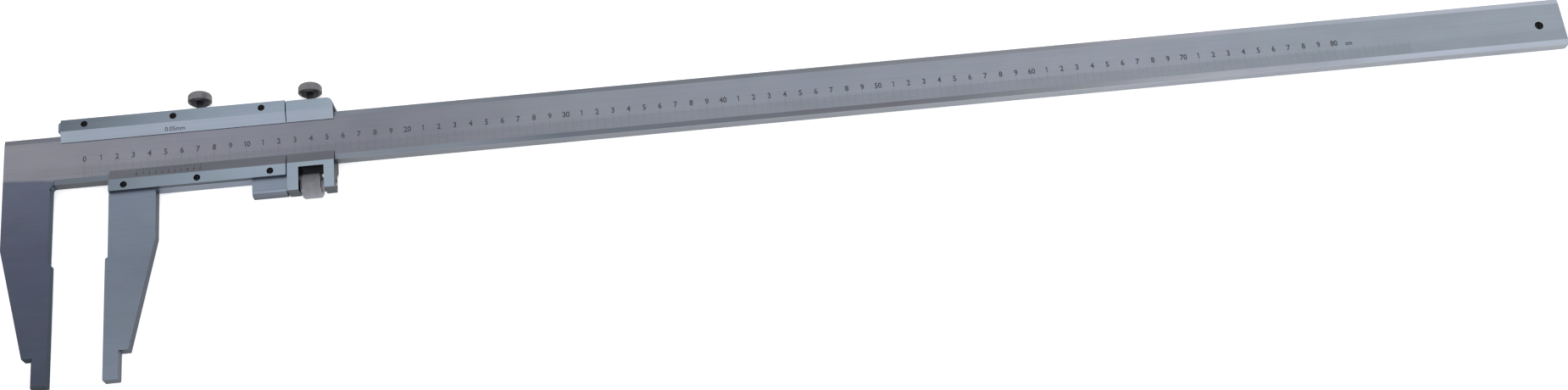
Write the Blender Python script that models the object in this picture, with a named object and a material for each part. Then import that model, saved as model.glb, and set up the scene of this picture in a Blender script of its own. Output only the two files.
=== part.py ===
"""Vernier caliper, 0 to 800 mm, with nib jaws and a fine-adjustment carriage.

The caliper lies on its back. X runs along the beam towards its tail, with X = 0 at the fixed jaw's
measuring face. Y runs away from the jaw tips, with Y = 0 on the line of the scale's figures. Z comes out
of the graduated face, with Z = 0 at the slider's back. A root empty then shifts all of it so that the
origin is under the middle of the bounding box. Every size is in metres.
"""

import math

import bmesh
import bpy
from mathutils import Vector

MM = 0.001
GAP = 0.3 * MM                       # running gap between neighbouring pieces
REACH = 5.0 * MM                     # how far a cutter runs past the solid it cuts

# Driving dimensions of the beam and the two jaws
BEAM_END = 974.6 * MM
BEAM_TOP = 17.5 * MM
BEAM_BOTTOM = -15.5 * MM
BEAM_BACK_Z = 4.6 * MM
BEAM_FACE_Z = 12.6 * MM
BEVEL_WIDTH = 3.4 * MM               # shallow margin along the beam's long edges
BEVEL_DROP = 0.6 * MM
LOW_BEVEL_START = 0.6 * MM           # the lower margin starts just right of the fixed jaw
JAW_WIDTH = 30.3 * MM
JAW_TIP = -145.5 * MM
JAW_TAPER_START = -56.0 * MM
JAW_TAPER_END = 14.9 * MM            # width left where the taper meets the ledge
LEDGE = -127.5 * MM                  # ledge above the nibs
NIB_WIDTH = 10.0 * MM
NIB_RADIUS = 6.8 * MM                # rounded outer face for inside measuring
RELIEF = 1.4 * MM                    # the jaws stand back above their measuring faces
RELIEF_END = -66.8 * MM
RELIEF_STEP = 1.0 * MM               # height of the sloping step at the relief's end
OPENING = 33.2 * MM                  # distance between the measuring faces as modelled
JAW_CORNER = 2.0 * MM                # round where the fixed jaw meets the beam
NIB_ROOT = 4.0 * MM                  # how far the nibs reach up into their jaws

# Driving dimensions of the slider
SLIDER_LEFT = 2.4 * MM
SLIDER_RIGHT = 143.9 * MM
SLIDER_TOP = 26.9 * MM
SLIDER_BOTTOM = -24.3 * MM
FLOOR_Z = BEAM_BACK_Z - GAP          # inside of the back plate
RAIL_Z = BEAM_FACE_Z - 0.1 * MM      # front of the rails, just under the jaw's and the lug's faces
PLATE_Z = BEAM_FACE_Z + GAP          # underside of the front plates
FRONT_Z = 15.6 * MM                  # front of the plates
LIP_EDGE = 0.3 * MM                  # thin edge of a bevelled lip
TOP_LIP = 12.3 * MM
TOP_CREST = 19.1 * MM
LOW_LIP = -9.9 * MM
LOW_CREST = -16.7 * MM
GIB_THICKNESS = 2.2 * MM
PUSHER_TIP = BEAM_TOP + 2 * GAP + GIB_THICKNESS    # inner ends of the set screws and pads
RAIL_INNER = PUSHER_TIP + 0.2 * MM   # inner face of the upper rail
SLIDER_GIB = (6.3 * MM, 143.4 * MM)
CARRIAGE_GIB = (145.3 * MM, 172.9 * MM)
TOP_PLATE_LEFT = 4.8 * MM            # the upper rail stands out beyond its plate
VERNIER_LEFT = OPENING + RELIEF + 0.4 * MM
JAW_ROOT = 4.0 * MM                  # how far the moving jaw reaches up into its rail
BACK_CHAMFER = 3.6 * MM
CORNER_CUT = 1.0 * MM
EXTENSION_LOW = 9.0 * MM             # lower edge of the back plate's left extension

# Driving dimensions of the fine-adjustment carriage
CARRIAGE_LEFT = 144.5 * MM
CARRIAGE_RIGHT = 173.7 * MM
CARRIAGE_TOP = 26.2 * MM
LEG_BOTTOM = -35.2 * MM
WINDOW_LEFT = 151.6 * MM
WINDOW_RIGHT = 167.2 * MM
WINDOW_TOP = -19.8 * MM
CARRIAGE_CORNER = 4.0 * MM
LUG_LEFT = 122.5 * MM
LUG_BOTTOM = -35.8 * MM
LUG_ROUND = 2.8 * MM
LUG_ROOT = 3.0 * MM                  # how far the lug reaches up into the lower rail

# Screws, pads and nut
AXIS_Z = 8.35 * MM                   # height of the lock screws and the fine-adjustment screw
FINE_Y = -30.6 * MM
FINE_RADIUS = 2.5 * MM
NUT_RADIUS = 8.0 * MM
NUT_LEFT = 153.0 * MM
NUT_RIGHT = 165.0 * MM
NUT_HUB_RADIUS = 4.4 * MM
NUT_CHAMFER = 0.8 * MM
PIN_X = 130.0 * MM
PIN_RADIUS = 1.0 * MM
PIN_COVER = 0.8 * MM                 # steel left over the cross hole in the rod
PIN_SHORT = 0.4 * MM                 # the pin ends this far below its hole's end
PIN_RECESS = 0.2 * MM
ROD_START = LUG_LEFT + 3.5 * MM      # blind end of the hole in the lug
ROD_RECESS = 1.2 * MM                # the rod ends this far inside the carriage
LOCK_RADIUS = 2.2 * MM
PAD_LENGTH = 2.0 * MM
SLIDER_LOCK_X = 89.2 * MM
CARRIAGE_LOCK_X = 158.5 * MM
KNOB_REACH = 6.0 * MM                # neck between the slider's top and the knob
PLATE_SCREW_HEAD = 1.8 * MM
PLATE_SCREW_SHANK = 1.2 * MM
PLATE_SCREW_DEPTH = 5.6 * MM
PLATE_SCREW_RECESS = 1.0 * MM
PLATE_SCREW_SLOT = (0.6 * MM, 0.7 * MM)            # width and depth
TOP_SCREW_Y = 23.1 * MM
TOP_SCREW_X = (19.4 * MM, 74.3 * MM, 129.1 * MM)
LOW_SCREW_Y = -20.7 * MM
LOW_SCREW_X = (44.4 * MM, 89.3 * MM, 134.2 * MM)
SET_SCREW_X = (45.0 * MM, 113.0 * MM)
SET_SCREW_RADIUS = 1.2 * MM
SET_SCREW_RECESS = 0.8 * MM
SET_SCREW_SLOT = (0.5 * MM, 0.7 * MM)
STOP_X = 957.7 * MM
STOP_Y = -0.6 * MM
STOP_RADIUS = 2.5 * MM
STOP_TIP_Z = 3.0 * MM
STOP_RECESS = 1.0 * MM
STOP_SLOT = (0.8 * MM, 0.9 * MM)

KNOB_HEIGHT = 6.4 * MM
KNOB_PROFILE = (                     # radius and height above the knob's underside
    (5.6 * MM, 0.0),
    (7.45 * MM, 1.2 * MM),
    (7.45 * MM, 5.3 * MM),
    (6.6 * MM, KNOB_HEIGHT),
)

BEAM_STEEL = ("ground_steel", (0.46, 0.45, 0.46, 1.0), 0.38, 1.0)
SLIDER_STEEL = ("satin_steel", (0.50, 0.54, 0.57, 1.0), 0.34, 1.0)
KNURLED_STEEL = ("knurled_steel", (0.27, 0.26, 0.26, 1.0), 0.45, 1.0)
BLACK_STEEL = ("blackened_steel", (0.02, 0.02, 0.025, 1.0), 0.5, 0.6)
SPRING_STEEL = ("spring_steel", (0.40, 0.40, 0.42, 1.0), 0.4, 1.0)
BRASS = ("brass", (0.65, 0.50, 0.24, 1.0), 0.35, 1.0)


def clear_scene():
    for item in list(bpy.data.objects):
        bpy.data.objects.remove(item, do_unlink=True)


def material(spec):
    name, colour, roughness, metallic = spec
    found = bpy.data.materials.get(name)
    if found:
        return found
    made = bpy.data.materials.new(name)
    made.use_nodes = True
    shader = made.node_tree.nodes["Principled BSDF"]
    shader.inputs["Base Color"].default_value = colour
    shader.inputs["Roughness"].default_value = roughness
    shader.inputs["Metallic"].default_value = metallic
    made.diffuse_color = colour
    return made


def add_object(name, mesh_data, root, spec=None, origin=(0.0, 0.0, 0.0), smooth=False):
    """Turn a bmesh into an object whose origin is at the given point of the model."""
    bmesh.ops.recalc_face_normals(mesh_data, faces=mesh_data.faces[:])
    bmesh.ops.translate(mesh_data, verts=mesh_data.verts[:], vec=-Vector(origin))
    mesh = bpy.data.meshes.new(name)
    mesh_data.to_mesh(mesh)
    mesh_data.free()
    made = bpy.data.objects.new(name, mesh)
    bpy.context.scene.collection.objects.link(made)
    made.parent = root
    made.location = origin
    if spec:
        mesh.materials.append(material(spec))
    if smooth:
        mesh.shade_smooth()
        mesh.set_sharp_from_angle(angle=math.radians(30))
    return made


def rounded(corners, steps=6):
    """Outline through (x, y, radius) corners, each with its round drawn as an arc."""
    outline = []
    for index, (x, y, radius) in enumerate(corners):
        corner = Vector((x, y))
        if radius == 0.0:
            outline.append(tuple(corner))
            continue
        before = Vector(corners[index - 1][:2]) - corner
        after = Vector(corners[(index + 1) % len(corners)][:2]) - corner
        half = before.angle(after) / 2
        start = corner + before.normalized() * radius / math.tan(half)
        middle = corner + (before.normalized() + after.normalized()).normalized() * radius / math.sin(half)
        sweep = math.pi - 2 * half
        arm = start - middle
        turn = 1.0 if before.cross(after) < 0 else -1.0
        for step in range(steps + 1):
            angle = turn * sweep * step / steps
            outline.append((
                middle.x + arm.x * math.cos(angle) - arm.y * math.sin(angle),
                middle.y + arm.x * math.sin(angle) + arm.y * math.cos(angle),
            ))
    return outline


def prism(outline, low, high, along="Z"):
    """Extrude an outline: (x, y) along Z, (y, z) along X, or (x, z) along Y."""
    placing = {
        "Z": lambda a, b, depth: (a, b, depth),
        "X": lambda a, b, depth: (depth, a, b),
        "Y": lambda a, b, depth: (a, depth, b),
    }[along]
    mesh_data = bmesh.new()
    face = mesh_data.faces.new([mesh_data.verts.new(placing(a, b, low)) for a, b in outline])
    extruded = bmesh.ops.extrude_face_region(mesh_data, geom=[face])
    moved = [item for item in extruded["geom"] if isinstance(item, bmesh.types.BMVert)]
    shift = Vector(placing(0.0, 0.0, high - low))
    bmesh.ops.translate(mesh_data, verts=moved, vec=shift)
    return mesh_data


def turned(profile, centre, along, sides=32, bore=None):
    """Turn a (radius, height) profile about an axis; a bore radius makes it a ring."""
    directions = {
        "X": (Vector((0, 1, 0)), Vector((0, 0, 1)), Vector((1, 0, 0))),
        "Y": (Vector((0, 0, 1)), Vector((1, 0, 0)), Vector((0, 1, 0))),
        "Z": (Vector((1, 0, 0)), Vector((0, 1, 0)), Vector((0, 0, 1))),
    }[along]
    points = list(profile)
    if bore is not None:
        points = points + [(bore, profile[-1][1]), (bore, profile[0][1])]
    mesh_data = bmesh.new()
    rings = []
    for radius, height in points:
        ring = []
        for side in range(sides):
            angle = 2 * math.pi * side / sides
            place = Vector(centre) + directions[2] * height
            place += directions[0] * radius * math.cos(angle) + directions[1] * radius * math.sin(angle)
            ring.append(mesh_data.verts.new(place))
        rings.append(ring)
    pairs = list(zip(rings, rings[1:]))
    if bore is None:
        mesh_data.faces.new(rings[0])
        mesh_data.faces.new(rings[-1])
    else:
        pairs.append((rings[-1], rings[0]))
    for lower, upper in pairs:
        for side in range(sides):
            nxt = (side + 1) % sides
            mesh_data.faces.new((lower[side], lower[nxt], upper[nxt], upper[side]))
    return mesh_data


def rod(radius, low, high, centre, along, sides=16):
    return turned(((radius, low), (radius, high)), centre, along, sides)


def combine(target, helper_mesh, operation, root):
    """Add or cut a hidden helper solid with an exact Boolean."""
    helper = add_object(f"{target.name}_{operation.lower()}_{len(target.modifiers)}", helper_mesh, root)
    helper.hide_render = True
    helper.hide_set(True)
    helper.display_type = "WIRE"
    modifier = target.modifiers.new(operation.title(), "BOOLEAN")
    modifier.operation = operation
    modifier.solver = "EXACT"
    modifier.object = helper


def jaw_outline(face_x, side, top):
    """Outline of a jaw down to its ledge; side is -1 for the fixed jaw and +1 for the moving one."""
    back = face_x + side * JAW_WIDTH
    inner = face_x + side * RELIEF
    return [
        (inner, top),
        (inner, RELIEF_END),
        (face_x, RELIEF_END - RELIEF_STEP),
        (face_x, LEDGE),
        (face_x + side * JAW_TAPER_END, LEDGE),
        (back, JAW_TAPER_START),
        (back, top),
    ]


def nib(face_x, side):
    """Nib with a flat measuring face and an outer face rounded about the Y direction."""
    half = (BEAM_FACE_Z - BEAM_BACK_Z) / 2
    middle_z = (BEAM_FACE_Z + BEAM_BACK_Z) / 2
    centre = face_x + side * (NIB_WIDTH - NIB_RADIUS)
    limit = math.asin(half / NIB_RADIUS)
    outline = [(face_x, BEAM_FACE_Z), (face_x, BEAM_BACK_Z)]
    for step in range(9):
        angle = -limit + 2 * limit * step / 8
        x = centre + side * NIB_RADIUS * math.cos(angle)
        outline.append((x, middle_z + NIB_RADIUS * math.sin(angle)))
    return prism(outline, JAW_TIP, LEDGE + NIB_ROOT, "Y")


def main_beam(root):
    jaw = jaw_outline(0.0, -1, BEAM_BOTTOM)
    outline = [(-JAW_WIDTH, BEAM_TOP, 0.0), (BEAM_END, BEAM_TOP, 0.0), (BEAM_END, BEAM_BOTTOM, 0.0)]
    outline.append((*jaw[0], JAW_CORNER))
    outline += [(*point, 0.0) for point in jaw[1:-1]]
    beam = add_object("main_beam", prism(rounded(outline), BEAM_BACK_Z, BEAM_FACE_Z), root, BEAM_STEEL)
    combine(beam, nib(0.0, -1), "UNION", root)
    slope = BEVEL_DROP / BEVEL_WIDTH
    top_wedge = [
        (BEAM_TOP - BEVEL_WIDTH, BEAM_FACE_Z),
        (BEAM_TOP + REACH, BEAM_FACE_Z - BEVEL_DROP - REACH * slope),
        (BEAM_TOP + REACH, BEAM_FACE_Z + REACH),
        (BEAM_TOP - BEVEL_WIDTH, BEAM_FACE_Z + REACH),
    ]
    low_wedge = [(BEAM_TOP + BEAM_BOTTOM - y, z) for y, z in top_wedge]
    combine(beam, prism(top_wedge, -JAW_WIDTH - REACH, BEAM_END + REACH, "X"), "DIFFERENCE", root)
    combine(beam, prism(low_wedge, LOW_BEVEL_START, BEAM_END + REACH, "X"), "DIFFERENCE", root)
    bore = rod(STOP_RADIUS + GAP, 0.0, 2 * FRONT_Z, (STOP_X, STOP_Y, 0.0), "Z", 24)
    combine(beam, bore, "DIFFERENCE", root)


def end_stop_screw(root):
    """Headless screw through the tail; its tip stands out behind and stops the carriage."""
    top = BEAM_FACE_Z - STOP_RECESS
    origin = (STOP_X, STOP_Y, 0.0)
    screw = add_object(
        "end_stop_screw", rod(STOP_RADIUS, STOP_TIP_Z, top, origin, "Z", 24), root, BLACK_STEEL, origin, True
    )
    width, depth = STOP_SLOT
    left = STOP_X - width / 2
    right = STOP_X + width / 2
    slot = [(left, -REACH), (right, -REACH), (right, REACH), (left, REACH)]
    combine(screw, prism(slot, top - depth, top + REACH), "DIFFERENCE", root)


def slider_channel():
    """Cross-section of the slider's back plate and two rails."""
    inner_low = BEAM_BOTTOM - GAP
    return [
        (SLIDER_TOP, RAIL_Z),
        (RAIL_INNER, RAIL_Z),
        (RAIL_INNER, FLOOR_Z),
        (inner_low, FLOOR_Z),
        (inner_low, RAIL_Z),
        (SLIDER_BOTTOM, RAIL_Z),
        (SLIDER_BOTTOM, BACK_CHAMFER),
        (SLIDER_BOTTOM + BACK_CHAMFER, 0.0),
        (SLIDER_TOP - BACK_CHAMFER, 0.0),
        (SLIDER_TOP, BACK_CHAMFER),
    ]


def extension_cutter():
    """Cuts the slider back at its lower left, so that only the upper rail reaches over the fixed jaw."""
    right = OPENING + RELIEF
    outline = [
        (SLIDER_LEFT - REACH, SLIDER_BOTTOM - REACH),
        (right, SLIDER_BOTTOM - REACH),
        (right, EXTENSION_LOW),
        (SLIDER_LEFT - REACH, EXTENSION_LOW),
    ]
    return prism(outline, -REACH, FRONT_Z + REACH)


def corner_cutter():
    """Cuts the 45 degree corner at the slider's upper left end."""
    outline = [
        (SLIDER_LEFT - REACH, SLIDER_TOP - CORNER_CUT - REACH),
        (SLIDER_LEFT + CORNER_CUT + REACH, SLIDER_TOP + REACH),
        (SLIDER_LEFT - REACH, SLIDER_TOP + REACH),
    ]
    return prism(outline, -REACH, FRONT_Z + REACH)


def lug_block():
    """Lug under the lower rail that holds the fixed end of the fine-adjustment screw."""
    half = BEAM_FACE_Z - AXIS_Z
    outline = rounded([
        (SLIDER_BOTTOM + LUG_ROOT, AXIS_Z + half, 0.0),
        (SLIDER_BOTTOM + LUG_ROOT, AXIS_Z - half, 0.0),
        (LUG_BOTTOM, AXIS_Z - half, LUG_ROUND),
        (LUG_BOTTOM, AXIS_Z + half, LUG_ROUND),
    ])
    return prism(outline, LUG_LEFT, SLIDER_RIGHT, "X")


def slider_body(root):
    channel = prism(slider_channel(), SLIDER_LEFT, SLIDER_RIGHT, "X")
    body = add_object("slider_body", channel, root, SLIDER_STEEL)
    combine(body, extension_cutter(), "DIFFERENCE", root)
    jaw = [(*point, 0.0) for point in jaw_outline(OPENING, 1, SLIDER_BOTTOM + JAW_ROOT)]
    combine(body, prism(rounded(jaw), BEAM_BACK_Z, BEAM_FACE_Z), "UNION", root)
    combine(body, nib(OPENING, 1), "UNION", root)
    combine(body, lug_block(), "UNION", root)
    combine(body, corner_cutter(), "DIFFERENCE", root)
    for x in TOP_SCREW_X + LOW_SCREW_X:
        y = TOP_SCREW_Y if x in TOP_SCREW_X else LOW_SCREW_Y
        bottom = BEAM_FACE_Z - PLATE_SCREW_DEPTH - GAP
        hole = rod(PLATE_SCREW_SHANK + GAP, bottom, 2 * FRONT_Z, (x, y, 0.0), "Z", 12)
        combine(body, hole, "DIFFERENCE", root)
    for x in SET_SCREW_X:
        hole = rod(SET_SCREW_RADIUS + GAP, BEAM_TOP, 2 * SLIDER_TOP, (x, 0.0, AXIS_Z), "Y", 12)
        combine(body, hole, "DIFFERENCE", root)
    lock_hole = rod(LOCK_RADIUS + GAP, BEAM_TOP, 2 * SLIDER_TOP, (SLIDER_LOCK_X, 0.0, AXIS_Z), "Y", 20)
    combine(body, lock_hole, "DIFFERENCE", root)
    screw_hole = rod(FINE_RADIUS + GAP, ROD_START, 2 * SLIDER_RIGHT, (0.0, FINE_Y, AXIS_Z), "X", 20)
    combine(body, screw_hole, "DIFFERENCE", root)
    pin_hole = rod(PIN_RADIUS + GAP, 0.0, AXIS_Z + FINE_RADIUS, (PIN_X, FINE_Y, 0.0), "Z", 12)
    combine(body, pin_hole, "DIFFERENCE", root)


def lip_profile(lip, crest, outer):
    """Cross-section of a front plate: a flat land and a bevel down to a thin lip over the beam."""
    return [
        (lip, PLATE_Z),
        (lip, PLATE_Z + LIP_EDGE),
        (crest, FRONT_Z),
        (outer, FRONT_Z),
        (outer, PLATE_Z),
    ]


def front_plate(root, name, left, profile, screws_x, screw_y):
    plate = add_object(name, prism(profile, left, SLIDER_RIGHT, "X"), root, SLIDER_STEEL)
    for x in screws_x:
        hole = rod(PLATE_SCREW_HEAD + GAP, 0.0, 2 * FRONT_Z, (x, screw_y, 0.0), "Z", 20)
        combine(plate, hole, "DIFFERENCE", root)


def plate_screw(root, name, x, y):
    """Cap screw sunk in a front plate, with a slot across its head."""
    top = FRONT_Z - PLATE_SCREW_RECESS
    under = BEAM_FACE_Z + GAP
    profile = (
        (PLATE_SCREW_SHANK, BEAM_FACE_Z - PLATE_SCREW_DEPTH),
        (PLATE_SCREW_SHANK, under),
        (PLATE_SCREW_HEAD, under),
        (PLATE_SCREW_HEAD, top),
    )
    origin = (x, y, 0.0)
    screw = add_object(name, turned(profile, origin, "Z", 20), root, BLACK_STEEL, origin, True)
    width, depth = PLATE_SCREW_SLOT
    low = y - width / 2
    high = y + width / 2
    slot = [(x - REACH, low), (x + REACH, low), (x + REACH, high), (x - REACH, high)]
    combine(screw, prism(slot, top - depth, top + REACH), "DIFFERENCE", root)


def gib(root, name, ends):
    """Spring strip between the beam's upper edge and the upper rail."""
    left, right = ends
    low = BEAM_TOP + GAP
    outline = [(left, low), (right, low), (right, low + GIB_THICKNESS), (left, low + GIB_THICKNESS)]
    add_object(name, prism(outline, FLOOR_Z + GAP, PLATE_Z - GAP), root, SPRING_STEEL)


def set_screw(root, name, x):
    """Headless screw in the upper rail that sets the gib's pressure."""
    origin = (x, PUSHER_TIP, AXIS_Z)
    top = SLIDER_TOP - SET_SCREW_RECESS
    length = top - PUSHER_TIP
    shank = rod(SET_SCREW_RADIUS, 0.0, length, origin, "Y", 12)
    screw = add_object(name, shank, root, BLACK_STEEL, origin, True)
    width, depth = SET_SCREW_SLOT
    deep = top - depth
    slot = [(x - REACH, deep), (x + REACH, deep), (x + REACH, top + REACH), (x - REACH, top + REACH)]
    combine(screw, prism(slot, AXIS_Z - width / 2, AXIS_Z + width / 2), "DIFFERENCE", root)


def lock_pad(root, name, x):
    """Brass pad between a lock screw's tip and the gib."""
    origin = (x, PUSHER_TIP, AXIS_Z)
    add_object(name, rod(LOCK_RADIUS, 0.0, PAD_LENGTH, origin, "Y", 20), root, BRASS, origin, True)


def lock_screw(root, name, x, top):
    """Thumb screw: a chamfered knob on a plain neck that reaches down to the pad."""
    tip = PUSHER_TIP + PAD_LENGTH + GAP
    knob = top + KNOB_REACH
    profile = [(LOCK_RADIUS, tip), (LOCK_RADIUS, knob)]
    profile += [(radius, knob + height) for radius, height in KNOB_PROFILE]
    axis_foot = (x, 0.0, AXIS_Z)
    add_object(name, turned(profile, axis_foot, "Y", 32), root, KNURLED_STEEL, axis_foot, True)


def carriage_section():
    """Cross-section of the carriage: a tunnel for the beam, open at the front between two lips."""
    inner_low = BEAM_BOTTOM - GAP
    return [
        (CARRIAGE_TOP, FRONT_Z),
        (TOP_CREST, FRONT_Z),
        (TOP_LIP, PLATE_Z + LIP_EDGE),
        (TOP_LIP, PLATE_Z),
        (RAIL_INNER, PLATE_Z),
        (RAIL_INNER, FLOOR_Z),
        (inner_low, FLOOR_Z),
        (inner_low, PLATE_Z),
        (LOW_LIP, PLATE_Z),
        (LOW_LIP, PLATE_Z + LIP_EDGE),
        (LOW_CREST, FRONT_Z),
        (LEG_BOTTOM, FRONT_Z),
        (LEG_BOTTOM, FLOOR_Z),
        (SLIDER_BOTTOM, FLOOR_Z),
        (SLIDER_BOTTOM, BACK_CHAMFER),
        (SLIDER_BOTTOM + BACK_CHAMFER, 0.0),
        (CARRIAGE_TOP - BACK_CHAMFER, 0.0),
        (CARRIAGE_TOP, BACK_CHAMFER),
    ]


def carriage_body(root):
    section = prism(carriage_section(), CARRIAGE_LEFT, CARRIAGE_RIGHT, "X")
    body = add_object("carriage_body", section, root, SLIDER_STEEL)
    plan = rounded([
        (CARRIAGE_LEFT - REACH, LEG_BOTTOM - REACH, 0.0),
        (CARRIAGE_RIGHT, LEG_BOTTOM - REACH, 0.0),
        (CARRIAGE_RIGHT, CARRIAGE_TOP, CARRIAGE_CORNER),
        (CARRIAGE_LEFT - REACH, CARRIAGE_TOP, 0.0),
    ])
    combine(body, prism(plan, -REACH, FRONT_Z + REACH), "INTERSECT", root)
    window = [
        (WINDOW_LEFT, LEG_BOTTOM - REACH),
        (WINDOW_RIGHT, LEG_BOTTOM - REACH),
        (WINDOW_RIGHT, WINDOW_TOP),
        (WINDOW_LEFT, WINDOW_TOP),
    ]
    combine(body, prism(window, -REACH, FRONT_Z + REACH), "DIFFERENCE", root)
    screw_hole = rod(FINE_RADIUS + GAP, SLIDER_RIGHT, 2 * CARRIAGE_RIGHT, (0.0, FINE_Y, AXIS_Z), "X", 20)
    combine(body, screw_hole, "DIFFERENCE", root)
    lock_hole = rod(LOCK_RADIUS + GAP, BEAM_TOP, 2 * SLIDER_TOP, (CARRIAGE_LOCK_X, 0.0, AXIS_Z), "Y", 20)
    combine(body, lock_hole, "DIFFERENCE", root)


def fine_adjust_screw(root):
    """Threaded rod fixed in the slider's lug; it runs through the carriage and its nut."""
    start = ROD_START + GAP
    origin = (start, FINE_Y, AXIS_Z)
    length = CARRIAGE_RIGHT - ROD_RECESS - start
    screw = add_object(
        "fine_adjust_screw", rod(FINE_RADIUS, 0.0, length, origin, "X", 20), root, SPRING_STEEL, origin, True
    )
    hole_end = AXIS_Z + FINE_RADIUS - PIN_COVER
    cross_hole = rod(PIN_RADIUS + GAP, -FRONT_Z, hole_end, (PIN_X, FINE_Y, 0.0), "Z", 12)
    combine(screw, cross_hole, "DIFFERENCE", root)


def screw_retaining_pin(root):
    """Dowel driven in from the back that keeps the fine-adjustment screw in the lug."""
    origin = (PIN_X, FINE_Y, 0.0)
    low = 2 * AXIS_Z - BEAM_FACE_Z + PIN_RECESS
    high = AXIS_Z + FINE_RADIUS - PIN_COVER - PIN_SHORT
    dowel = rod(PIN_RADIUS, low, high, origin, "Z", 12)
    add_object("screw_retaining_pin", dowel, root, SPRING_STEEL, origin, True)


def fine_adjust_nut(root):
    """Knurled nut held between the carriage's legs, with a hub on each side."""
    profile = (
        (NUT_HUB_RADIUS, WINDOW_LEFT + GAP),
        (NUT_HUB_RADIUS, NUT_LEFT),
        (NUT_RADIUS - NUT_CHAMFER, NUT_LEFT),
        (NUT_RADIUS, NUT_LEFT + NUT_CHAMFER),
        (NUT_RADIUS, NUT_RIGHT - NUT_CHAMFER),
        (NUT_RADIUS - NUT_CHAMFER, NUT_RIGHT),
        (NUT_HUB_RADIUS, NUT_RIGHT),
        (NUT_HUB_RADIUS, WINDOW_RIGHT - GAP),
    )
    axis_foot = (0.0, FINE_Y, AXIS_Z)
    ring = turned(profile, axis_foot, "X", 36, bore=FINE_RADIUS + GAP)
    middle = ((NUT_LEFT + NUT_RIGHT) / 2, FINE_Y, AXIS_Z)
    add_object("fine_adjust_nut", ring, root, KNURLED_STEEL, middle, True)


def build():
    clear_scene()
    knob_top = SLIDER_TOP + KNOB_REACH + KNOB_HEIGHT
    root = bpy.data.objects.new("caliper_root", None)
    bpy.context.scene.collection.objects.link(root)
    root.location = ((JAW_WIDTH - BEAM_END) / 2, -(JAW_TIP + knob_top) / 2, 0.0)
    main_beam(root)
    end_stop_screw(root)
    slider_body(root)
    top_profile = lip_profile(TOP_LIP, TOP_CREST, SLIDER_TOP)
    front_plate(root, "top_guide_plate", TOP_PLATE_LEFT, top_profile, TOP_SCREW_X, TOP_SCREW_Y)
    low_profile = lip_profile(LOW_LIP, LOW_CREST, SLIDER_BOTTOM)
    front_plate(root, "vernier_plate", VERNIER_LEFT, low_profile, LOW_SCREW_X, LOW_SCREW_Y)
    for number, x in enumerate(TOP_SCREW_X, 1):
        plate_screw(root, f"top_plate_screw_{number}", x, TOP_SCREW_Y)
    for number, x in enumerate(LOW_SCREW_X, 1):
        plate_screw(root, f"vernier_plate_screw_{number}", x, LOW_SCREW_Y)
    gib(root, "slider_gib", SLIDER_GIB)
    for number, x in enumerate(SET_SCREW_X, 1):
        set_screw(root, f"gib_set_screw_{number}", x)
    lock_pad(root, "slider_lock_pad", SLIDER_LOCK_X)
    lock_screw(root, "slider_lock_screw", SLIDER_LOCK_X, SLIDER_TOP)
    carriage_body(root)
    gib(root, "carriage_gib", CARRIAGE_GIB)
    lock_pad(root, "carriage_lock_pad", CARRIAGE_LOCK_X)
    lock_screw(root, "carriage_lock_screw", CARRIAGE_LOCK_X, CARRIAGE_TOP)
    fine_adjust_screw(root)
    screw_retaining_pin(root)
    fine_adjust_nut(root)


build()
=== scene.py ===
"""Looks of the vernier caliper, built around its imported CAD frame.

Sizes in millimetres are in the caliper's own system: X from the fixed jaw's measuring face towards the
tail, Y from the line of the scale's figures away from the jaw tips, Z up from the slider's back.
"""

import math

import bmesh
import bpy
from mathutils import Euler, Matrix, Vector


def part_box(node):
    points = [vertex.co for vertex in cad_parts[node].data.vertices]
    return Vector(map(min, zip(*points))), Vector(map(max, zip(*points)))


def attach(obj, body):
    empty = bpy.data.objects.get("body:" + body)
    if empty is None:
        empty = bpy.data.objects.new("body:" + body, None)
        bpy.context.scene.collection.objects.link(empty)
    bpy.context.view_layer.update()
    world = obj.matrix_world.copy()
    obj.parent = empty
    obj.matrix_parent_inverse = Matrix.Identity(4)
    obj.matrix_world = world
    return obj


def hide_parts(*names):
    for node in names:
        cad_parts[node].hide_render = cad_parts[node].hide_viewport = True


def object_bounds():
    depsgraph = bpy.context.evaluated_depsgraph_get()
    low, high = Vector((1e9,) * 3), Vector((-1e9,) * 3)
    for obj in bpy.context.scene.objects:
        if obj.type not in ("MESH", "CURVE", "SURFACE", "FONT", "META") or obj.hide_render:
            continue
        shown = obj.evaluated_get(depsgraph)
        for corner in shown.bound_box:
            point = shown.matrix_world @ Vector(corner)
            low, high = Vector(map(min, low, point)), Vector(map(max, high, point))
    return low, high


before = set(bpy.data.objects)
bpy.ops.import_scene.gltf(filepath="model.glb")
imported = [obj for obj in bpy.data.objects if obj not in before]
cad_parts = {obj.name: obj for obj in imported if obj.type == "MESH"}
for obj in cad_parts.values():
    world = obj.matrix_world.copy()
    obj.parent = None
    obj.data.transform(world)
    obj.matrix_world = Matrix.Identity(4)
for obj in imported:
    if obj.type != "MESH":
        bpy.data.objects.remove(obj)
cad_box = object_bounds()

MM = 0.001

# Places of the caliper's own system, read from the frame
BEAM_LOW, BEAM_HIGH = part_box("main_beam")
JAW_WIDTH = 30.3
BEAM_TOP = 17.5
FACE_Z = 12.6                       # the beam's face
LIP_Z = 13.2                        # thin edges of the front plates, above the beam's face
LOW_LIP = -9.9
TOP_LIP = 12.3
SLOPE_RUN, SLOPE_RISE = 6.8, 2.4    # bevel of a front plate
SLOPE_LENGTH = math.hypot(SLOPE_RUN, SLOPE_RISE)
ORIGIN = Vector((BEAM_LOW.x + JAW_WIDTH * MM, BEAM_HIGH.y - BEAM_TOP * MM, BEAM_HIGH.z - FACE_Z * MM))

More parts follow.
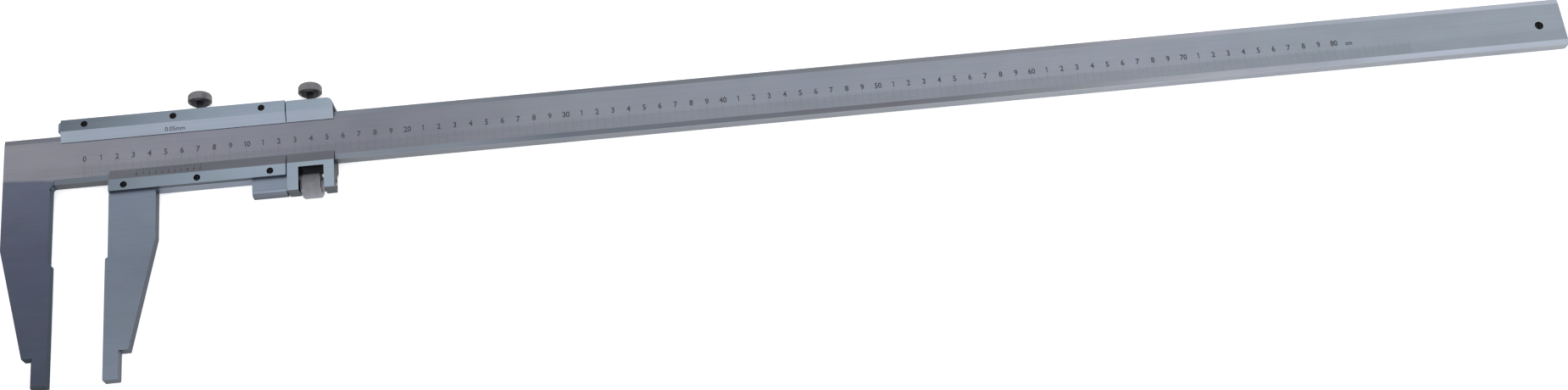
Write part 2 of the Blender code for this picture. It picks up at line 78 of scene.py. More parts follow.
# Main scale
SCALE_ZERO = 19.0
SCALE_END = 850                     # lines, one each millimetre
SCALE_FIGURES = 80                  # last centimetre with a figure
TICK_FOOT = -12.1
TICK_TOPS = {10: -2.9, 5: -4.3, 1: -4.9}
TICK_WIDTH = 0.12
FIGURE_HEIGHT = 3.85
FIGURE_SHIFT = 0.3                  # to the right, for each digit
FIGURE_Y = 0.4
FIGURE_FORM = (0.9, 0.028)          # squeeze, boldness
UNIT_X, UNIT_Y, UNIT_HEIGHT = 829.3, -0.3, 3.08         # the letters cm after the last figure

# Vernier and reading value, with places along the bevels counted from the plates' thin edges
VERNIER_ZERO = 52.2
VERNIER_STEP = 1.95
VERNIER_STEPS = 20
VERNIER_TICK_WIDTH = 0.22
VERNIER_TICK_TOP = -0.15
VERNIER_LONG_FOOT, VERNIER_SHORT_FOOT = -3.1, -2.2
VERNIER_FIGURE_DOWN, VERNIER_FIGURE_HEIGHT = -4.6, 2.1
VERNIER_FIGURE_FORM = (0.9, 0.04)
READING_X, READING_UP, READING_HEIGHT = 75.3, 2.9, 2.7
READING_FORM = (1.05, 0.02)

# Marks are thin inlays
MARK_LIFT = 0.012
MARK_SINK = 0.05

# Edges and rounds of the CAD pieces
WELD = 0.002                        # corners nearer than this are one
FLAT_ANGLE = math.radians(0.6)      # faces that lean less than this are one
ROUND_ANGLES = (math.radians(1), math.radians(31))      # between neighbouring strips of a round
ROUND_STRIP = 2.5                   # widest strip of a round
SOFT_ANGLE = math.radians(32)       # steeper edges are broken with a small round
EDGE_ROOM = 3                       # edge breaks that must fit along the edges around a sharp edge

ROUND_SIDES = 96                    # sides of a turned and knurled piece


def at(x, y, z):
    """Point of the caliper's own system, in millimetres, as a place in the row frame."""
    return ORIGIN + Vector((x, y, z)) * MM


# ---------------------------------------------------------------- meshes

def new_piece(name, mesh_data, body, material, replaced=()):
    """Turn a bmesh into a piece that rides on a body."""
    mesh = bpy.data.meshes.new(name)
    mesh_data.to_mesh(mesh)
    mesh_data.free()
    mesh.materials.append(material)
    piece = bpy.data.objects.new(name, mesh)
    bpy.context.scene.collection.objects.link(piece)
    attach(piece, body)
    if replaced:
        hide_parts(*replaced)
    return piece


def welded_copy(node):
    """The node's mesh with its corners joined and its flat faces made whole."""
    mesh_data = bmesh.new()
    mesh_data.from_mesh(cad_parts[node].data)
    for layer in list(mesh_data.loops.layers.uv):
        mesh_data.loops.layers.uv.remove(layer)
    bmesh.ops.remove_doubles(mesh_data, verts=mesh_data.verts, dist=WELD * MM)
    bmesh.ops.dissolve_limit(
        mesh_data, angle_limit=FLAT_ANGLE, verts=mesh_data.verts, edges=mesh_data.edges
    )
    bmesh.ops.recalc_face_normals(mesh_data, faces=mesh_data.faces)
    return mesh_data


def soften(mesh_data, width):
    """Smooth the narrow strips of rounds, and weight the sharp edges that have room for a bevel."""
    for face in mesh_data.faces:
        longest = max(edge.calc_length() for edge in face.edges)
        leans = [edge.calc_face_angle(0.0) for edge in face.edges]
        turning = any(ROUND_ANGLES[0] < angle < ROUND_ANGLES[1] for angle in leans)
        face.smooth = turning and face.calc_area() < ROUND_STRIP * MM * longest
    weight = mesh_data.edges.layers.float.new("bevel_weight_edge")
    short = EDGE_ROOM * width * MM
    for edge in mesh_data.edges:
        around = [e.calc_length() for v in edge.verts for e in v.link_edges]
        if edge.calc_face_angle(0.0) > SOFT_ANGLE and min(around) > short:
            edge[weight] = 1.0


def refined(node, body, material, width):
    """A copy of a CAD node with its edges broken, which stands for the node."""
    mesh_data = welded_copy(node)
    soften(mesh_data, width)
    piece = new_piece(f"{node}_finished", mesh_data, body, material, (node,))
    bevel = piece.modifiers.new("Edge_break", "BEVEL")
    bevel.width = width * MM
    bevel.segments = 2
    bevel.limit_method = "WEIGHT"
    bevel.use_clamp_overlap = False


def lathe(rings, axis_foot, along, close=True):
    """Join rings of (radius, height) lists about an axis into a closed solid.

    With close, the first and the last ring are filled. Without it they are joined, which leaves a bore.
    """
    units = [Vector((1, 0, 0)), Vector((0, 1, 0)), Vector((0, 0, 1))]
    first = "XYZ".index(along)
    axis, right, up = (units[(first + step) % 3] for step in range(3))
    mesh_data = bmesh.new()
    made = []
    for ring in rings:
        count = len(ring)
        loop = []
        for index, (radius, height) in enumerate(ring):
            angle = 2 * math.pi * index / count
            place = axis_foot + axis * height * MM
            place = place + right * radius * MM * math.cos(angle)
            place = place + up * radius * MM * math.sin(angle)
            loop.append(mesh_data.verts.new(place))
        made.append(loop)
    pairs = list(zip(made, made[1:]))
    if close:
        mesh_data.faces.new(made[0])
        mesh_data.faces.new(made[-1])
    else:
        pairs.append((made[-1], made[0]))
    for lower, upper in pairs:
        count = len(lower)
        for index in range(count):
            nxt = (index + 1) % count
            mesh_data.faces.new((lower[index], lower[nxt], upper[nxt], upper[index]))
    bmesh.ops.recalc_face_normals(mesh_data, faces=mesh_data.faces)
    return mesh_data


def knurl_rings(radius, low, high, rows, depth):
    """Rings whose radius rises and falls like the pyramids of a fine diamond knurl."""
    rings = []
    for row in range(rows + 1):
        height = low + (high - low) * row / rows
        ring = [(radius - depth * ((row + index) % 2), height) for index in range(ROUND_SIDES)]
        rings.append(ring)
    return rings


def plain_rings(profile, foot, count=ROUND_SIDES):
    """One round ring for each (radius, height above foot) of a turned profile."""
    return [[(radius, foot + height)] * count for radius, height in profile]


# ---------------------------------------------------------------- materials

def input_of(node, socket, value):
    node.inputs[socket].default_value = value


NOISE_ROUGHNESS = 0.55
GRAIN_RANGE = (0.25, 0.75)          # most of a noise's values, for grain and for mottled finishes
MOTTLE_RANGE = (0.3, 0.7)


def noise(tree, coordinates, scales, detail):
    """Noise over coordinates in metres, with its own scale along each axis."""
    mapping = tree.nodes.new("ShaderNodeMapping")
    input_of(mapping, "Scale", scales)
    tree.links.new(coordinates, mapping.inputs["Vector"])
    texture = tree.nodes.new("ShaderNodeTexNoise")
    input_of(texture, "Scale", 1.0)
    input_of(texture, "Detail", detail)
    input_of(texture, "Roughness", NOISE_ROUGHNESS)
    tree.links.new(mapping.outputs["Vector"], texture.inputs["Vector"])
    return texture


def ranged(tree, value, low, high, to_low=0.0, to_high=1.0, smooth=False):
    """Value mapped from low and high to the new range, and held there outside it."""
    node = tree.nodes.new("ShaderNodeMapRange")
    node.interpolation_type = "SMOOTHSTEP" if smooth else "LINEAR"
    input_of(node, "From Min", low)
    input_of(node, "From Max", high)
    input_of(node, "To Min", to_low)
    input_of(node, "To Max", to_high)
    tree.links.new(value, node.inputs["Value"])
    return node.outputs["Result"]


def maths(tree, operation, first, second):
    node = tree.nodes.new("ShaderNodeMath")
    node.operation = operation
    for socket, value in zip(node.inputs, (first, second)):
        if isinstance(value, (int, float)):
            socket.default_value = value
        else:
            tree.links.new(value, socket)
    return node.outputs["Value"]


def mixed(tree, factor, first, second, blend="MIX"):
    node = tree.nodes.new("ShaderNodeMix")
    node.data_type = "RGBA"
    node.blend_type = blend
    node.clamp_factor = True
    for name, value in (("Factor", factor), ("A", first), ("B", second)):
        sockets = [s for s in node.inputs if s.name == name and s.enabled]
        if isinstance(value, (int, float)):
            sockets[0].default_value = value
        elif isinstance(value, tuple):
            sockets[0].default_value = (*value, 1.0)
        else:
            tree.links.new(value, sockets[0])
    return [s for s in node.outputs if s.enabled][0]


def grey(tree, value):
    """A value as a colour."""
    node = tree.nodes.new("ShaderNodeCombineColor")
    for socket in node.inputs[:3]:
        tree.links.new(value, socket)
    return node.outputs["Color"]


def ramped(tree, value, stops):
    """Colour that runs through (place, colour) stops; places go from -1 to 1."""
    node = tree.nodes.new("ShaderNodeValToRGB")
    ramp = node.color_ramp
    while len(ramp.elements) < len(stops):
        ramp.elements.new(0.5)
    for element, (place, colour) in zip(ramp.elements, stops):
        element.position = (place + 1) / 2
        element.color = (*colour, 1.0)
    tree.links.new(ranged(tree, value, -1.0, 1.0), node.inputs["Fac"])
    return node.outputs["Color"]


def along_axis(tree, place, axis, stops):
    """Colour that runs through (millimetres, colour) stops along an axis of the caliper's own system."""
    split = tree.nodes.new("ShaderNodeSeparateXYZ")
    tree.links.new(place, split.inputs["Vector"])
    first, last = stops[0][0], stops[-1][0]
    origin = ORIGIN["XYZ".index(axis)]
    position = ranged(tree, split.outputs[axis], origin + first * MM, origin + last * MM, -1.0, 1.0)
    places = [(2 * (spot - first) / (last - first) - 1, colour) for spot, colour in stops]
    return ramped(tree, position, places)


# Ground steel: scales of its grain and clouds, and how much they change its colour and relief
FINE_GRAIN = (14.0, 2600.0, 2600.0)
STREAKS = (6.0, 700.0, 700.0)
CLOUDS = (30.0, 60.0, 60.0)
TINT_PATCHES = (70.0, 90.0, 90.0)
GRAIN_SHADE = 0.05
CLOUD_SHADE = 0.05
TINT_SHADE = 0.04
GRAIN_BUMP = 0.05
END_FACING = (0.4, 0.8)             # X direction of the faces that take the colour of the ends
EDGE_TINT = (0.5, 0.5, 0.5, 1.0)    # oil and fine scratches keep the steel from glaring at a low angle


def ground_steel(name, tones, ends, roughness, fades=()):
    """Ground steel with its grain along X, with the parts of it that a further finish works on.

    tones gives the colour by the way a surface faces, from -Y (-1) over the front (0) to +Y (1), and ends
    the colour of the faces across the grain; the differences between them are painted shade and painted
    reflection. Each of fades is (low, high, axis, stops): a colour along an axis that multiplies the faces
    whose Y direction lies between low and high, painted reflection and shade along the caliper.
    """
    made = bpy.data.materials.new(name)
    made.use_nodes = True
    tree = made.node_tree
    shader = tree.nodes["Principled BSDF"]
    input_of(shader, "Metallic", 1.0)
    input_of(shader, "Specular Tint", EDGE_TINT)
    coordinates = tree.nodes.new("ShaderNodeTexCoord")
    place = coordinates.outputs["Object"]
    fine = noise(tree, place, FINE_GRAIN, 3.0).outputs["Fac"]
    streak = noise(tree, place, STREAKS, 2.0).outputs["Fac"]
    cloud = noise(tree, place, CLOUDS, 3.0).outputs["Fac"]
    patch = noise(tree, place, TINT_PATCHES, 2.0).outputs["Color"]
    shade = maths(
        tree,
        "ADD",
        ranged(tree, fine, *GRAIN_RANGE, 1 - GRAIN_SHADE, 1 + GRAIN_SHADE),
        ranged(tree, streak, *GRAIN_RANGE, -GRAIN_SHADE / 2, GRAIN_SHADE / 2),
    )
    shade = maths(tree, "ADD", shade, ranged(tree, cloud, *GRAIN_RANGE, -CLOUD_SHADE, CLOUD_SHADE))
    normal = tree.nodes.new("ShaderNodeSeparateXYZ")
    tree.links.new(coordinates.outputs["Normal"], normal.inputs["Vector"])
    # The differences between the tones, and the fades and end colour below, are painted shade and painted
    # reflection
    base = ramped(tree, normal.outputs["Y"], tones)
    for low, high, axis, stops in fades:
        above = maths(tree, "GREATER_THAN", normal.outputs["Y"], low)
        inside = maths(tree, "MULTIPLY", above, maths(tree, "LESS_THAN", normal.outputs["Y"], high))
        base = mixed(tree, inside, base, along_axis(tree, place, axis, stops), "MULTIPLY")
    across = maths(tree, "ABSOLUTE", normal.outputs["X"], 0.0)
    base = mixed(tree, ranged(tree, across, *END_FACING), base, ends)
    base = mixed(tree, TINT_SHADE, base, patch, "OVERLAY")
    base = mixed(tree, 1.0, base, grey(tree, shade), "MULTIPLY")
    tree.links.new(base, shader.inputs["Base Color"])
    rough = ranged(tree, maths(tree, "ADD", fine, cloud), 0.6, 1.4, roughness - 0.05, roughness + 0.07)
    tree.links.new(rough, shader.inputs["Roughness"])
    relief = tree.nodes.new("ShaderNodeBump")
    input_of(relief, "Strength", GRAIN_BUMP)
    input_of(relief, "Distance", 0.02 * MM)
    tree.links.new(maths(tree, "ADD", fine, streak), relief.inputs["Height"])
    tree.links.new(relief.outputs["Normal"], shader.inputs["Normal"])
    return made, base, place


def steel(name, tones, ends, roughness, fades=()):
    """The material alone."""
    return ground_steel(name, tones, ends, roughness, fades)[0]


def beam_steel():
    """The beam's ground face, with the fixed jaw below the beam's edge darker and bluer: partly its own
    finish, partly painted shade that deepens towards its tip.
    """
    # The darker margins and undersides in these tones are painted shade
    tones = [
        (-1.0, BEAM_UNDER),
        (-0.5, BEAM_UNDER),
        (-0.174, BEAM_LOW_MARGIN),
        (-0.08, BEAM_FACE),
        (0.08, BEAM_FACE),
        (0.174, BEAM_HIGH_MARGIN),
        (0.5, BEAM_UNDER),
        (1.0, BEAM_UNDER),
    ]
    made, base, place = ground_steel("beam_ground_steel", tones, BEAM_END, 0.34, BEAM_FADES)
    tree = made.node_tree
    split = tree.nodes.new("ShaderNodeSeparateXYZ")
    tree.links.new(place, split.inputs["Vector"])
    wobble = noise(tree, place, JAW_WOBBLE_SCALE, 2.0).outputs["Fac"]
    edge = maths(tree, "ADD", split.outputs["Y"], maths(tree, "MULTIPLY", wobble, JAW_WOBBLE * MM))
    lean = maths(tree, "MULTIPLY", maths(tree, "SUBTRACT", split.outputs["X"], ORIGIN.x), JAW_LINE_LEAN)
    edge = maths(tree, "ADD", edge, lean)
    line = ORIGIN.y + JAW_LINE * MM
    jaw = ranged(tree, edge, line - JAW_LINE_BLUR * MM, line + JAW_LINE_BLUR * MM, 1.0, 0.0, True)
    end, past = (ORIGIN.x + spot * MM for spot in JAW_END)
    left = ranged(tree, split.outputs["X"], end, past, 1.0, 0.0)
    jaw = maths(tree, "MULTIPLY", jaw, left)
    jaw_colour = mixed(tree, 1.0, base, along_axis(tree, place, "Y", JAW_TONE_AND_PAINTED_SHADE), "MULTIPLY")
    shader = tree.nodes["Principled BSDF"]
    tree.links.new(mixed(tree, jaw, base, jaw_colour), shader.inputs["Base Color"])
    return made


SPECKLE = 260.0         # scale of the mottled finish
FINE_SPECKLE = 7 * SPECKLE


def dark_metal(name, colour, roughness, metallic=0.9, facing=None):
    """Blackened or knurled metal with a mottled finish; facing darkens it by the way a surface faces, as
    painted shade.
    """
    made = bpy.data.materials.new(name)
    made.use_nodes = True
    tree = made.node_tree
    shader = tree.nodes["Principled BSDF"]
    input_of(shader, "Metallic", metallic)
    input_of(shader, "Specular IOR Level", 0.2)
    coordinates = tree.nodes.new("ShaderNodeTexCoord")
    place = coordinates.outputs["Object"]
    normal = tree.nodes.new("ShaderNodeSeparateXYZ")
    tree.links.new(coordinates.outputs["Normal"], normal.inputs["Vector"])
    mottle = noise(tree, place, (SPECKLE,) * 3, 4.0).outputs["Fac"]
    fine = noise(tree, place, (FINE_SPECKLE,) * 3, 2.0).outputs["Fac"]
    shade = maths(
        tree,
        "ADD",
        ranged(tree, mottle, *MOTTLE_RANGE, 0.85, 1.15),
        ranged(tree, fine, *MOTTLE_RANGE, -0.12, 0.12),
    )
    base = mixed(tree, 1.0, colour, grey(tree, shade), "MULTIPLY")
    if facing:
        # Painted shade by the way the surface faces
        base = mixed(tree, 1.0, base, ramped(tree, normal.outputs["Y"], facing), "MULTIPLY")
    tree.links.new(base, shader.inputs["Base Color"])
    rough = ranged(tree, mottle, *MOTTLE_RANGE, roughness - 0.08, roughness + 0.1)
    tree.links.new(rough, shader.inputs["Roughness"])
    relief = tree.nodes.new("ShaderNodeBump")
    input_of(relief, "Strength", 0.25)
    input_of(relief, "Distance", 0.03 * MM)
    tree.links.new(fine, relief.inputs["Height"])
    tree.links.new(relief.outputs["Normal"], shader.inputs["Normal"])
    return made


WEAR_SPECKLE = 900.0


def ink(name, dark, worn_colour):
    """Dark filling of the engraved marks, slightly uneven."""
    made = bpy.data.materials.new(name)
    made.use_nodes = True
    tree = made.node_tree
    shader = tree.nodes["Principled BSDF"]
    input_of(shader, "Metallic", 0.0)
    place = tree.nodes.new("ShaderNodeTexCoord").outputs["Object"]
    worn = noise(tree, place, (WEAR_SPECKLE,) * 3, 3.0).outputs["Fac"]
    filling = mixed(tree, ranged(tree, worn, 0.35, 0.75), dark, worn_colour)
    tree.links.new(filling, shader.inputs["Base Color"])
    tree.links.new(ranged(tree, worn, *MOTTLE_RANGE, 0.5, 0.75), shader.inputs["Roughness"])
    return made


def greys(*stops):
    """Stops of a fade that keeps the colour and changes only its level."""
    return [(spot, (level, level, level)) for spot, level in stops]


# Directions in Y that pick the faces of the beam and of the slider
FRONT = (-0.1, 0.1)
HIGH_SIDE = (0.1, 0.3)
LOW_SIDE = (-0.3, -0.1)
LANDS = (-0.15, 0.15)
UNDER = (-1.1, -0.3)
UNDER_STEEP = (-1.1, -0.6)

# Colours of the steels by the way a surface faces, and how they change along the caliper
BEAM_FACE = (0.313, 0.313, 0.357)
# The beam's margins, underside and ends differ from its face by painted shade and painted reflection
BEAM_LOW_MARGIN = (0.21, 0.22, 0.25)
BEAM_HIGH_MARGIN = (0.28, 0.29, 0.33)
BEAM_UNDER = (0.17, 0.18, 0.20)
BEAM_END = (0.165, 0.200, 0.212)
# Painted reflection and shade along X on the front, margins and underside; along Y the front darkens
# slightly where the lines run
BEAM_FADES = (
    (*FRONT, "X", [
        (-30, (0.94, 0.94, 0.95)),
        (100, (0.90, 0.92, 0.97)),
        (195, (0.74, 0.77, 0.81)),
        (330, (0.90, 0.96, 0.99)),
        (500, (0.89, 0.98, 1.02)),
        (660, (0.95, 1.03, 1.06)),
        (820, (0.90, 1.02, 1.04)),
        (975, (0.90, 1.02, 1.04)),
    ]),
    (*FRONT, "Y", greys((-15, 0.97), (-12.3, 0.97), (-11.8, 0.94), (-5, 0.94), (-4.3, 1.0), (17, 1.0))),
    (*HIGH_SIDE, "X", [
        (-30, (0.84, 0.84, 0.86)),
        (185, (0.99, 1.05, 1.09)),
        (325, (0.78, 0.83, 0.86)),
        (480, (0.83, 0.87, 0.86)),
        (640, (1.07, 1.08, 1.09)),
        (710, (1.37, 1.39, 1.41)),
        (840, (1.46, 1.55, 1.56)),
        (900, (1.64, 1.72, 1.75)),
        (975, (1.57, 1.64, 1.67)),
    ]),
    (*LOW_SIDE, "X", [
        (-30, (0.60, 0.62, 0.66)),
        (24, (0.72, 0.81, 0.84)),
        (180, (0.99, 1.08, 1.13)),
        (250, (0.99, 1.08, 1.13)),
        (320, (0.67, 0.73, 0.78)),
        (530, (0.68, 0.67, 0.69)),
        (600, (0.88, 0.88, 0.88)),
        (740, (1.54, 1.54, 1.55)),
        (810, (1.46, 1.51, 1.55)),
        (880, (1.85, 1.97, 2.04)),
        (975, (1.68, 1.80, 1.85)),
    ]),
    (*UNDER, "X", greys(
        (-30, 0.62), (110, 0.80), (180, 1.1), (285, 1.3), (500, 1.5), (635, 1.85), (975, 1.9)
    )),
)

# The fixed jaw's finish starts at a soft, slightly leaning and wavy line
JAW_LINE = -11.6
JAW_LINE_LEAN = 0.08
JAW_LINE_BLUR = 1.2
JAW_END = (0.5, 1.5)                # in X, just right of the measuring face
JAW_WOBBLE = 2.0
JAW_WOBBLE_SCALE = (60.0, 20.0, 20.0)
# The fixed jaw's own bluer tone along Y, with painted shade that darkens it towards the tip
JAW_TONE_AND_PAINTED_SHADE = [
    (-146, (0.265, 0.305, 0.365)),
    (-90, (0.330, 0.375, 0.472)),
    (-60, (0.353, 0.400, 0.506)),
    (-16, (0.485, 0.540, 0.655)),
]

# Slider and carriage
LAND = (0.405, 0.492, 0.595)
# Painted reflection brightens the lands towards the right; painted shade darkens steep downward faces,
# most from Y -20 to -12, and painted light brightens them higher up
LAND_FADES = (
    (*LANDS, "X", greys((0, 0.37), (57, 0.60), (113, 0.77), (170, 0.87))),
    (*UNDER_STEEP, "Y", greys(
        (-36, 1.0), (-30, 1.0), (-24, 0.6), (-20, 0.22), (-12, 0.22), (0, 2.0), (20, 2.0)
    )),
)
# Painted highlight and shade across the movable jaw's lands, lighter towards its right, and painted shade
# and light on its downward faces, darker below Y -33 than above Y -26
JAW_FADES = (
    (*LANDS, "Y", greys((-146, 0.76), (-105, 0.69), (-75, 0.67), (-45, 0.75), (-24, 0.78))),
    (*LANDS, "X", greys((0, 1.0), (105, 1.0), (120, 1.2), (145, 1.2))),
    (*UNDER, "Y", greys((-37, 0.68), (-33, 0.68), (-26, 1.37), (20, 1.37))),
)
BODY_FACE = (0.282, 0.334, 0.421)
# The bevels, sides and ends below are darker than the lands and faces by painted shade
BODY_END = (0.116, 0.128, 0.152)
TOP_PLATE_BEVEL = (0.300, 0.344, 0.418)
VERNIER_BEVEL = (0.210, 0.217, 0.255)
SHADED_SIDE = (0.170, 0.190, 0.225)
DARK_END = (0.040, 0.040, 0.050)
CARRIAGE_SIDE = (0.10, 0.11, 0.12)
CARRIAGE_END = (0.08, 0.09, 0.10)
BRIGHT = (0.46, 0.47, 0.49)
# Painted shade that darkens the lock knobs' underside and top against their knurled rim
KNOB_PAINTED_SHADE = greys((-1.0, 0.3), (-0.8, 0.45), (-0.5, 1.0), (0.3, 0.95), (0.7, 0.42), (1.0, 0.5))


def plate_tones(facing_down, land, facing_up, side):
    """Colours of a bevelled plate, with painted shade: its bevel facing down, its front, its bevel facing
    up and its sides.
    """
    return [
        (-1.0, side),
        (-0.6, side),
        (-0.334, facing_down),
        (-0.2, facing_down),
        (-0.1, land),
        (0.1, land),
        (0.2, facing_up),
        (0.334, facing_up),
        (0.6, side),
        (1.0, side),
    ]


PLATE_TONES = plate_tones(TOP_PLATE_BEVEL, LAND, VERNIER_BEVEL, SHADED_SIDE)
CARRIAGE_TONES = plate_tones(TOP_PLATE_BEVEL, LAND, VERNIER_BEVEL, CARRIAGE_SIDE)
BODY_TONES = plate_tones(BODY_FACE, BODY_FACE, BODY_FACE, SHADED_SIDE)
BRIGHT_TONES = plate_tones(BRIGHT, BRIGHT, BRIGHT, BRIGHT)

BEAM_STEEL = beam_steel()
PLATE_STEEL = steel("plate_satin_steel", PLATE_TONES, DARK_END, 0.32, LAND_FADES)
BODY_STEEL = steel("jaw_satin_steel", BODY_TONES, BODY_END, 0.34, JAW_FADES)
CARRIAGE_STEEL = steel("carriage_satin_steel", CARRIAGE_TONES, CARRIAGE_END, 0.32, LAND_FADES)
SPRING_STEEL = steel("bright_spring_steel", BRIGHT_TONES, BRIGHT, 0.28)
# The neck under each lock knob is nearly black: painted shade from the knob above it
NECK_STEEL = dark_metal("neck_steel_painted_shade", (0.040, 0.042, 0.045), 0.5)
KNURLED_STEEL = dark_metal("knurled_steel_painted_shade", (0.20, 0.195, 0.21), 0.42, facing=KNOB_PAINTED_SHADE)
NUT_STEEL = dark_metal("knurled_grey_steel", (0.20, 0.205, 0.225), 0.42)
BLACK_STEEL = dark_metal("blackened_screw_steel", (0.006, 0.006, 0.009), 0.6, metallic=0.0)
BRASS = dark_metal("pad_brass", (0.60, 0.44, 0.20), 0.35)
INK = ink("mark_filling", (0.03, 0.03, 0.04), (0.09, 0.09, 0.10))
FAINT_INK = ink("worn_mark_filling", (0.11, 0.11, 0.12), (0.18, 0.18, 0.19))


# ---------------------------------------------------------------- steel pieces

EDGE_BREAK = 0.18
PLATE_EDGE_BREAK = 0.15

refined("main_beam", "beam", BEAM_STEEL, EDGE_BREAK)
refined("slider_body", "slider", BODY_STEEL, EDGE_BREAK)
refined("top_guide_plate", "slider", PLATE_STEEL, PLATE_EDGE_BREAK)
refined("vernier_plate", "slider", PLATE_STEEL, PLATE_EDGE_BREAK)
refined("carriage_body", "carriage", CARRIAGE_STEEL, EDGE_BREAK)

CARRIED_OVER = {
    BLACK_STEEL: (
        "end_stop_screw",
        "top_plate_screw_1",
        "top_plate_screw_2",
        "top_plate_screw_3",
        "vernier_plate_screw_1",
        "vernier_plate_screw_2",
        "vernier_plate_screw_3",
        "gib_set_screw_1",
        "gib_set_screw_2",
    ),
    SPRING_STEEL: ("slider_gib", "carriage_gib", "screw_retaining_pin"),
    BRASS: ("slider_lock_pad", "carriage_lock_pad"),
}
for finish, names in CARRIED_OVER.items():
    for node_name in names:
        for material_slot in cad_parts[node_name].material_slots:
            material_slot.link = "OBJECT"
            material_slot.material = finish


# ---------------------------------------------------------------- knobs, nut and screw

# Lock screw's knob: (radius, height above its underside), with a knurled rim between two chamfers
KNOB_HEIGHT = 6.4
NECK_RADIUS = 2.2
NECK_MARGIN = 0.05                  # the neck's steel reaches this far past the knob's underside
KNOB_UNDER = ((NECK_RADIUS, -0.5), (2.9, 0.0), (5.5, 0.0), (5.7, 0.1), (7.15, 1.1))
KNOB_RIM = 7.45
KNOB_RIM_LOW, KNOB_RIM_HIGH = 1.3, 5.2
KNOB_KNURL = (8, 0.22)              # rows, depth
KNOB_TOP = ((7.2, 5.4), (6.7, 6.25), (6.45, KNOB_HEIGHT), (2.6, KNOB_HEIGHT), (2.3, 6.15), (0.4, 6.05))

# Adjusting nut: a rim between two hubs, with a bore
NUT_BORE, HUB_RADIUS, NUT_SHOULDER, NUT_RIM = 2.8, 4.4, 7.1, 7.98
LEFT_HUB, RIGHT_HUB = 1.1, 1.9      # lengths of the hubs
NUT_CHAMFER = 0.8
NUT_LEFT_SIDE = (
    (NUT_BORE, 0.0),
    (4.1, 0.0),
    (HUB_RADIUS, 0.3),
    (HUB_RADIUS, LEFT_HUB),
    (NUT_SHOULDER, LEFT_HUB),
)
NUT_RIGHT_SIDE = (
    (NUT_SHOULDER, -RIGHT_HUB),
    (HUB_RADIUS, -RIGHT_HUB),
    (HUB_RADIUS, -0.2),
    (4.2, 0.0),
    (NUT_BORE, 0.0),
)
NUT_KNURL = (20, 0.20)

# Adjusting screw: a shank with a thread along the part that runs in the nut
SCREW_RADIUS, SCREW_SIDES = 2.5, 24
SCREW_SHANK = 12.0
SCREW_END = 0.5
THREAD_PITCH, THREAD_DEPTH, THREAD_STEPS = 0.8, 0.3, 4


def lock_knob(node, body):
    """Thumb screw with a knurled rim between two chamfers."""
    low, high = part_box(node)
    foot = Vector(((low.x + high.x) / 2, 0.0, (low.z + high.z) / 2))
    under = high.y / MM - KNOB_HEIGHT
    rings = plain_rings([(NECK_RADIUS, 0.0)], low.y / MM)
    rings += plain_rings(KNOB_UNDER, under)
    rings += knurl_rings(KNOB_RIM, under + KNOB_RIM_LOW, under + KNOB_RIM_HIGH, *KNOB_KNURL)
    rings += plain_rings(KNOB_TOP, under)
    mesh_data = lathe(rings, foot, "Y")
    piece = new_piece(f"{node}_knurled", mesh_data, body, KNURLED_STEEL, (node,))
    piece.data.materials.append(NECK_STEEL)
    for face in piece.data.polygons:
        if face.center.y < (under + NECK_MARGIN) * MM:
            face.material_index = 1


def adjusting_nut():
    """Knurled nut with a hub on each side and a bore for the screw."""
    low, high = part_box("fine_adjust_nut")
    foot = Vector((0.0, (low.y + high.y) / 2, (low.z + high.z) / 2))
    left, right = low.x / MM, high.x / MM
    rim_left, rim_right = left + LEFT_HUB, right - RIGHT_HUB
    rings = plain_rings(NUT_LEFT_SIDE, left)
    rings += knurl_rings(NUT_RIM, rim_left + NUT_CHAMFER, rim_right - NUT_CHAMFER, *NUT_KNURL)
    rings += plain_rings(NUT_RIGHT_SIDE, right)
    mesh_data = lathe(rings, foot, "X", close=False)
    node = "fine_adjust_nut"
    new_piece(f"{node}_knurled", mesh_data, "fine_nut", NUT_STEEL, (node,))


def adjusting_screw():
    """Screw with a helical thread along the part that runs in the nut."""
    low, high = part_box("fine_adjust_screw")
    foot = Vector((0.0, (low.y + high.y) / 2, (low.z + high.z) / 2))
    left, right = low.x / MM, high.x / MM
    shank = ((SCREW_RADIUS - 0.3, 0.0), (SCREW_RADIUS, 0.3), (SCREW_RADIUS, SCREW_SHANK))
    rings = plain_rings(shank, left, SCREW_SIDES)
    thread_start = left + SCREW_SHANK
    rise = THREAD_PITCH / THREAD_STEPS
    for step in range(1, int((right - SCREW_END - thread_start) / rise) + 1):
        height = thread_start + step * rise
        ring = []
        for index in range(SCREW_SIDES):
            phase = (height / THREAD_PITCH - index / SCREW_SIDES) % 1.0
            ring.append((SCREW_RADIUS - THREAD_DEPTH * abs(2 * phase - 1), height))
        rings.append(ring)
    rings += plain_rings([(SCREW_RADIUS - THREAD_DEPTH - 0.2, 0.0)], right, SCREW_SIDES)
    mesh_data = lathe(rings, foot, "X")
    node = "fine_adjust_screw"
    new_piece(f"{node}_threaded", mesh_data, "slider", SPRING_STEEL, (node,))


lock_knob("slider_lock_screw", "slider_lock")
lock_knob("carriage_lock_screw", "carriage_lock")
adjusting_nut()
adjusting_screw()


# ---------------------------------------------------------------- marks

def add_slab(mesh_data, corner_of, outline, low, high):
    """Closed slab over an outline, from low to high; corner_of places (across, along, lift)."""
    under = [mesh_data.verts.new(corner_of(a, b, low)) for a, b in outline]
    over = [mesh_data.verts.new(corner_of(a, b, high)) for a, b in outline]
    mesh_data.faces.new(under[::-1])
    mesh_data.faces.new(over)
    for index in range(len(outline)):
        nxt = (index + 1) % len(outline)
        mesh_data.faces.new((under[index], under[nxt], over[nxt], over[index]))


